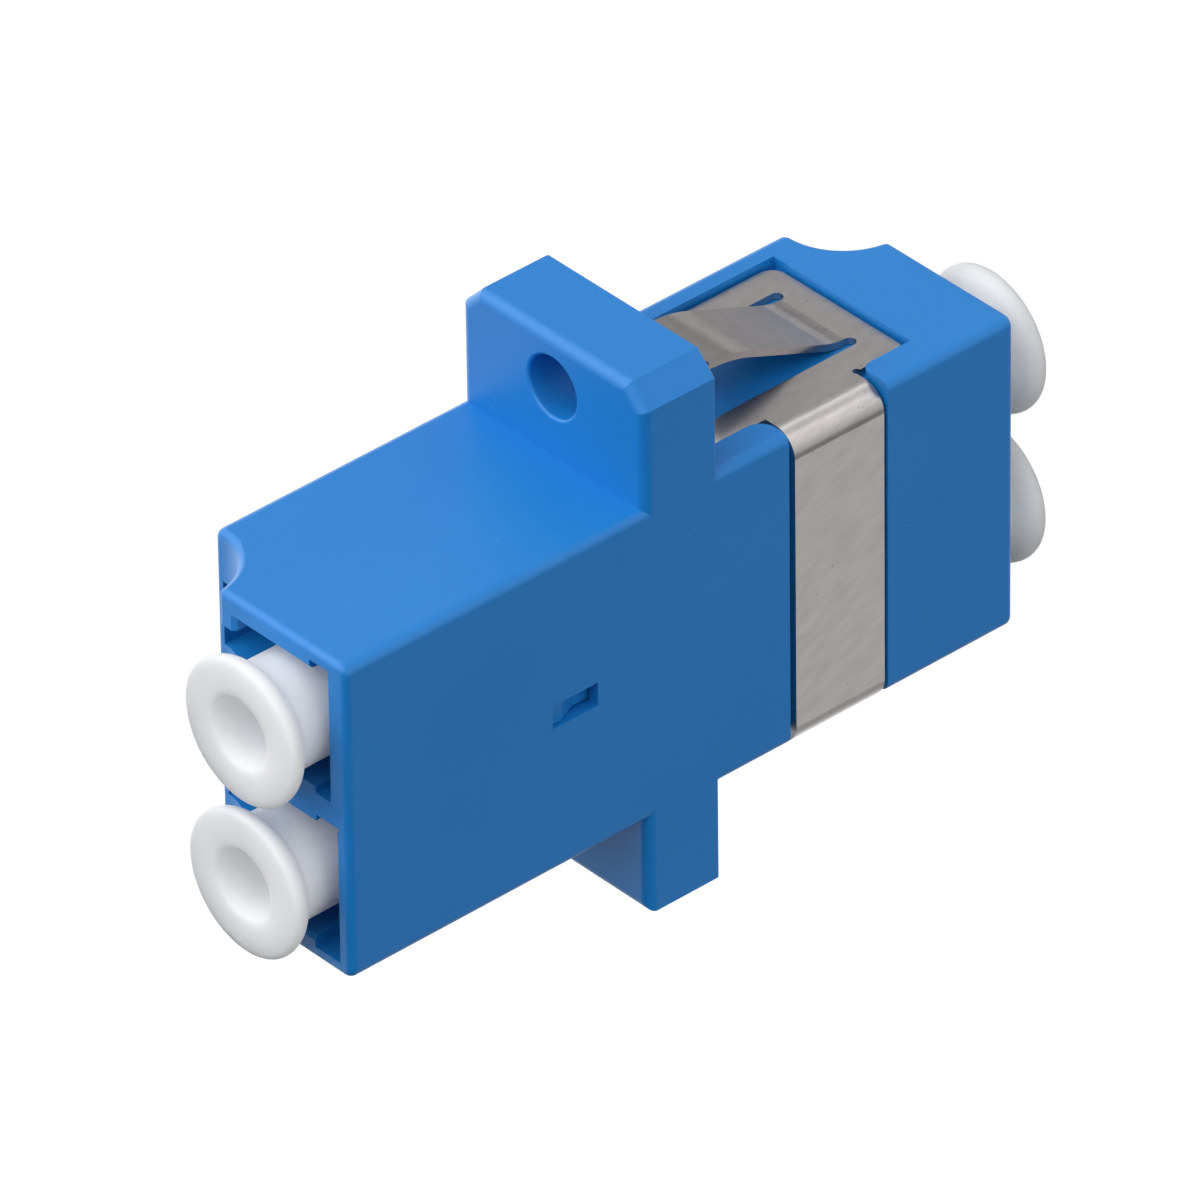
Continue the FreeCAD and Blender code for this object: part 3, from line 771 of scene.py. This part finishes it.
@dataclass
class DustCaps:
    """The four soft caps in the ports, each with a thick rounded rim.

    Attributes:
        shape: The outline that they share.
        finish: Their soft white.
        rear_face: X of the rear caps' faces, in millimetres.
        front_face: X of the front caps' faces.
        axis_y: Y of the ports' axes.
        upper_z: Z of the upper ports' axes.
        lower_z: Z of the lower ports' axes.
    """

    shape: CapShape = CapShape()
    finish: SoftPolymer = CAP_WHITE
    rear_face: float = 17.35
    front_face: float = -17.05
    axis_y: float = -1.4
    upper_z: float = 2.675
    lower_z: float = -3.575

    def ports(self) -> list[Port]:
        """Lists the four ports.

        Returns:
            The ports, the rear ones first.
        """
        ends = (("rear", self.rear_face, 0.0), ("front", self.front_face, 180.0))
        rows = (("upper", self.upper_z), ("lower", self.lower_z))
        return [Port(f"cap_{end}_{row}", (x, self.axis_y, z), turn)
                for end, x, turn in ends for row, z in rows]

    def build(self, effects: EffectLibrary) -> None:
        """Models one cap, dresses it and copies it to each port.

        Args:
            effects: The shared shader effects.
        """
        first = self.shape.model()
        first.data.materials.append(self.finish.material(effects))
        ports = self.ports()
        copies = [self._copy(first) for _ in ports[1:]]
        for cap, port in zip([*copies, first], ports):
            self._seat(cap, port)

    @staticmethod
    def _copy(cap: bpy.types.Object) -> bpy.types.Object:
        """Copies a cap.

        Args:
            cap: The cap.

        Returns:
            A copy with its own mesh.
        """
        copy = cap.copy()
        copy.data = cap.data.copy()
        bpy.context.collection.objects.link(copy)
        return copy

    @staticmethod
    def _seat(cap: bpy.types.Object, port: Port) -> None:
        """Puts a cap in its port and joins it to its body.

        Args:
            cap: The cap, as it was modelled.
            port: Where it goes.
        """
        cap.name = port.body + "_soft"
        cap.location = Vector(port.face) * MM
        cap.rotation_euler = (0.0, 0.0, math.radians(port.turn))
        bpy.ops.object.select_all(action="DESELECT")
        cap.select_set(True)
        bpy.context.view_layer.objects.active = cap
        bpy.ops.object.transform_apply(location=True, rotation=True, scale=True)
        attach(cap, port.body)
        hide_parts("dust_" + port.body)
        log.info("cap %s in place of dust_%s", cap.name, port.body)


def seen_straight(tree: bpy.types.ShaderNodeTree, path: bpy.types.Node) -> bpy.types.NodeSocket:
    """A mask that is 1 where the camera sees the background, also through a clear part.

    Args:
        tree: The node tree of the floor or the sky.
        path: Its light path node.

    Returns:
        The mask's socket.
    """
    return combine(tree, "MAXIMUM", path.outputs["Is Camera Ray"], path.outputs["Is Transmission Ray"])


@dataclass(frozen=True)
class StudioPaper:
    """The floor's paper, which looks white and gives back little light.

    Attributes:
        name: The material's name.
        tone: The grey that it gives back to the adapter.
        seen_tone: The grey of the matt part of what the camera sees, which takes the shadow.
        glow: The level of the even part of what the camera sees.
        glow_share: The share of the even part.
    """

    name: str = "studio_paper"
    tone: float = 0.08
    seen_tone: float = 0.95
    glow: float = 1.10
    glow_share: float = 0.75

    @staticmethod
    def _matt(tree: bpy.types.ShaderNodeTree, tone: float) -> bpy.types.NodeSocket:
        """Adds a plain matt grey.

        Args:
            tree: The material's node tree.
            tone: The grey.

        Returns:
            The shader's socket.
        """
        matt = tree.nodes.new("ShaderNodeBsdfDiffuse")
        matt.inputs["Color"].default_value = opaque((tone, tone, tone))
        return matt.outputs["BSDF"]

    @staticmethod
    def _mix(tree: bpy.types.ShaderNodeTree, share: float | bpy.types.NodeSocket, first: bpy.types.NodeSocket,
             second: bpy.types.NodeSocket) -> bpy.types.NodeSocket:
        """Mixes two shaders.

        Args:
            tree: The material's node tree.
            share: The share of the second shader.
            first: The first shader's socket.
            second: The second shader's socket.

        Returns:
            The mixed shader's socket.
        """
        mix = tree.nodes.new("ShaderNodeMixShader")
        feed(tree, share, mix.inputs["Fac"])
        tree.links.new(first, mix.inputs[1])
        tree.links.new(second, mix.inputs[2])
        return mix.outputs["Shader"]

    def material(self) -> bpy.types.Material:
        """Builds the material.

        Returns:
            The finished material.
        """
        material = bpy.data.materials.new(self.name)
        material.use_nodes = True
        tree = material.node_tree
        tree.nodes.clear()
        glow = tree.nodes.new("ShaderNodeEmission")
        glow.inputs["Strength"].default_value = self.glow
        seen = self._mix(tree, self.glow_share, self._matt(tree, self.seen_tone), glow.outputs["Emission"])
        path = tree.nodes.new("ShaderNodeLightPath")
        surface = self._mix(tree, seen_straight(tree, path), self._matt(tree, self.tone), seen)
        tree.links.new(surface, tree.nodes.new("ShaderNodeOutputMaterial").inputs["Surface"])
        return material


@dataclass(frozen=True)
class Softbox:
    """A square lamp aimed at the adapter.

    Attributes:
        role: What the lamp does.
        toward: The direction from the adapter to the lamp.
        size: The length of its side, in metres.
        level: The light that a small lamp of this power gives a wall that faces it, where 1 is full white.
        distance: How far away it is, in metres.
    """

    role: Light
    toward: Direction
    size: float
    level: float
    distance: float = 0.60

    def build(self) -> None:
        """Adds the lamp."""
        direction = Vector(self.toward).normalized()
        bpy.ops.object.light_add(type="AREA", location=direction * self.distance)
        lamp = bpy.context.active_object
        lamp.name = self.role.value
        lamp.rotation_mode = "QUATERNION"
        lamp.rotation_quaternion = direction.to_track_quat("Z", "Y")
        lamp.data.shape = "SQUARE"
        lamp.data.size = self.size
        lamp.data.energy = self.level * math.pi ** 2 * self.distance ** 2
        lamp.visible_camera = False
        log.info("lamp %s", lamp.name)


@dataclass(frozen=True)
class SkyPanel:
    """A soft round patch of the sky, brighter or darker than it, that only shows in reflections.

    Attributes:
        toward: The direction of its middle.
        inner: The cosine of the angle up to which it is full.
        outer: The cosine of the angle where it ends.
        level: What it adds to the sky, or takes away where it is negative.
    """

    toward: Direction
    inner: float
    outer: float
    level: float

    def add_to(self, tree: bpy.types.ShaderNodeTree, view: bpy.types.NodeSocket) -> bpy.types.NodeSocket:
        """Adds the panel to the sky.

        Args:
            tree: The world's node tree.
            view: The direction that is looked in.

        Returns:
            The socket of the level that it adds.
        """
        facing = along(tree, view, Vector(self.toward).normalized())
        return Ramp(self.outer, self.inner, 0.0, self.level, eased=True).add_to(tree, facing)


@dataclass
class Studio:
    """The pale floor, the sky around it and the lamps.

    Attributes:
        floor_drop: How far the floor lies under the origin, in metres.
        floor_size: The floor's side, in metres.
        paper: The floor's finish.
        ambient: The sky's level for diffuse light.
        bright_side: The direction in which the reflected sky gets brighter.
        rise: How bright it gets along that direction.
        overhead: How much of it is left straight above, by height.
        lamps: The softboxes.
        panels: The patches that only show in reflections.
    """

    floor_drop: float = 0.05
    floor_size: float = 6.0
    paper: StudioPaper = StudioPaper()
    ambient: float = 0.31
    bright_side: Direction = (0.25, 0.80, 0.55)
    rise: Ramp = Ramp(-0.45, 1.0, 0.0, 3.20)
    overhead: Ramp = Ramp(0.77, 0.85, 1.0, 0.15, eased=True)
    lamps: tuple[Softbox, ...] = (
        Softbox(Light.KEY, toward=(-0.65, 0.15, 0.75), size=1.05, level=1.76),
        Softbox(Light.FILL, toward=(0.54, -0.58, 0.61), size=0.34, level=0.04),
        Softbox(Light.SIDE, toward=(0.10, -0.95, 0.20), size=0.50, level=0.39),
    )
    panels: tuple[SkyPanel, ...] = (
        SkyPanel(toward=(0.54, -0.61, -0.58), inner=0.995, outer=0.987, level=1.30),
        SkyPanel(toward=(0.54, -0.80, 0.05), inner=0.95, outer=0.88, level=0.50),
        SkyPanel(toward=(0.54, -0.10, -0.84), inner=0.95, outer=0.86, level=0.55),
        SkyPanel(toward=(0.54, 0.61, 0.58), inner=0.975, outer=0.940, level=-2.50),
        SkyPanel(toward=(0.79, 0.61, 0.05), inner=0.97, outer=0.91, level=-2.15),
    )

    def build(self) -> None:
        """Builds the floor, the sky and the lamps."""
        self._floor()
        self._sky()
        for lamp in self.lamps:
            lamp.build()

    def _floor(self) -> None:
        """Adds the floor. Reflections see the sky's lower half in its place."""
        bpy.ops.mesh.primitive_plane_add(size=self.floor_size, location=(0, 0, -self.floor_drop))
        floor = bpy.context.active_object
        floor.name = "studio_floor"
        bpy.ops.object.transform_apply(location=True)
        floor.data.materials.append(self.paper.material())
        floor.visible_glossy = False
        log.info("floor %s", floor.name)

    def _sky(self) -> None:
        """Sets the sky: white to the camera, plain to walls, and shaped where it is reflected."""
        world = bpy.data.worlds.new("studio_sky")
        bpy.context.scene.world = world
        world.use_nodes = True
        tree = world.node_tree
        tree.nodes.clear()
        view = tree.nodes.new("ShaderNodeTexCoord").outputs["Generated"]
        level = combine(tree, "MULTIPLY", self.rise.add_to(tree, along(tree, view, self.bright_side)),
                        self.overhead.add_to(tree, along(tree, view, UP)))
        for panel in self.panels:
            level = combine(tree, "ADD", level, panel.add_to(tree, view))
        path = tree.nodes.new("ShaderNodeLightPath")
        level = mix_values(tree, path.outputs["Is Glossy Ray"], self.ambient, level)
        level = mix_values(tree, seen_straight(tree, path), level, 1.0)
        sky = tree.nodes.new("ShaderNodeBackground")
        sky.inputs["Color"].default_value = opaque((1.0, 1.0, 1.0))
        tree.links.new(level, sky.inputs["Strength"])
        tree.links.new(sky.outputs["Background"], tree.nodes.new("ShaderNodeOutputWorld").inputs["Surface"])
        log.info("sky %s", world.name)


@dataclass(frozen=True)
class PhotoCamera:
    """The camera at the photograph's place.

    Attributes:
        location: Its place in the row frame, in metres.
        azimuth: The side it looks from, in degrees, where 0 looks along +Y.
        elevation: Its height over the horizon, in degrees.
        roll: Its turn about the line of sight, in degrees.
        lens: Its focal length, in millimetres.
        sensor: The width of its sensor, in millimetres.
        clip: The nearest and farthest distance that it sees, in metres.
    """

    location: tuple[float, float, float] = (-0.334276, -0.377669, 0.357691)
    azimuth: float = -41.545
    elevation: float = 35.406
    roll: float = -0.752
    lens: float = 546.26
    sensor: float = 36.0
    clip: tuple[float, float] = (0.01, 10.0)

    def build(self) -> None:
        """Adds the camera and makes it the scene's own."""
        side, height = math.radians(self.azimuth), math.radians(self.elevation)
        reach = math.cos(height)
        back = Vector((math.sin(side) * reach, -math.cos(side) * reach, math.sin(height)))
        turn = Quaternion(UP, math.radians(self.roll))
        bpy.ops.object.camera_add(location=self.location)
        camera = bpy.context.active_object
        camera.name = "photo_camera"
        camera.rotation_mode = "QUATERNION"
        camera.rotation_quaternion = (-back).to_track_quat("-Z", "Y") @ turn
        camera.data.lens, camera.data.sensor_width = self.lens, self.sensor
        camera.data.clip_start, camera.data.clip_end = self.clip
        bpy.context.scene.camera = camera
        log.info("camera %s", camera.name)


def main() -> None:
    """Builds the whole scene in order."""
    logging.basicConfig(level=logging.INFO, format="%(name)s: %(message)s")
    bpy.ops.object.select_all(action="DESELECT")
    bpy.context.scene.view_settings.view_transform = "Standard"
    effects = EffectLibrary()
    effects.build()
    for part in (MouldedBody(), SpringClip(), AlignmentSleeves(), DustCaps()):
        part.build(effects)
    Studio().build()
    PhotoCamera().build()


if __name__ == "__main__":
    main()
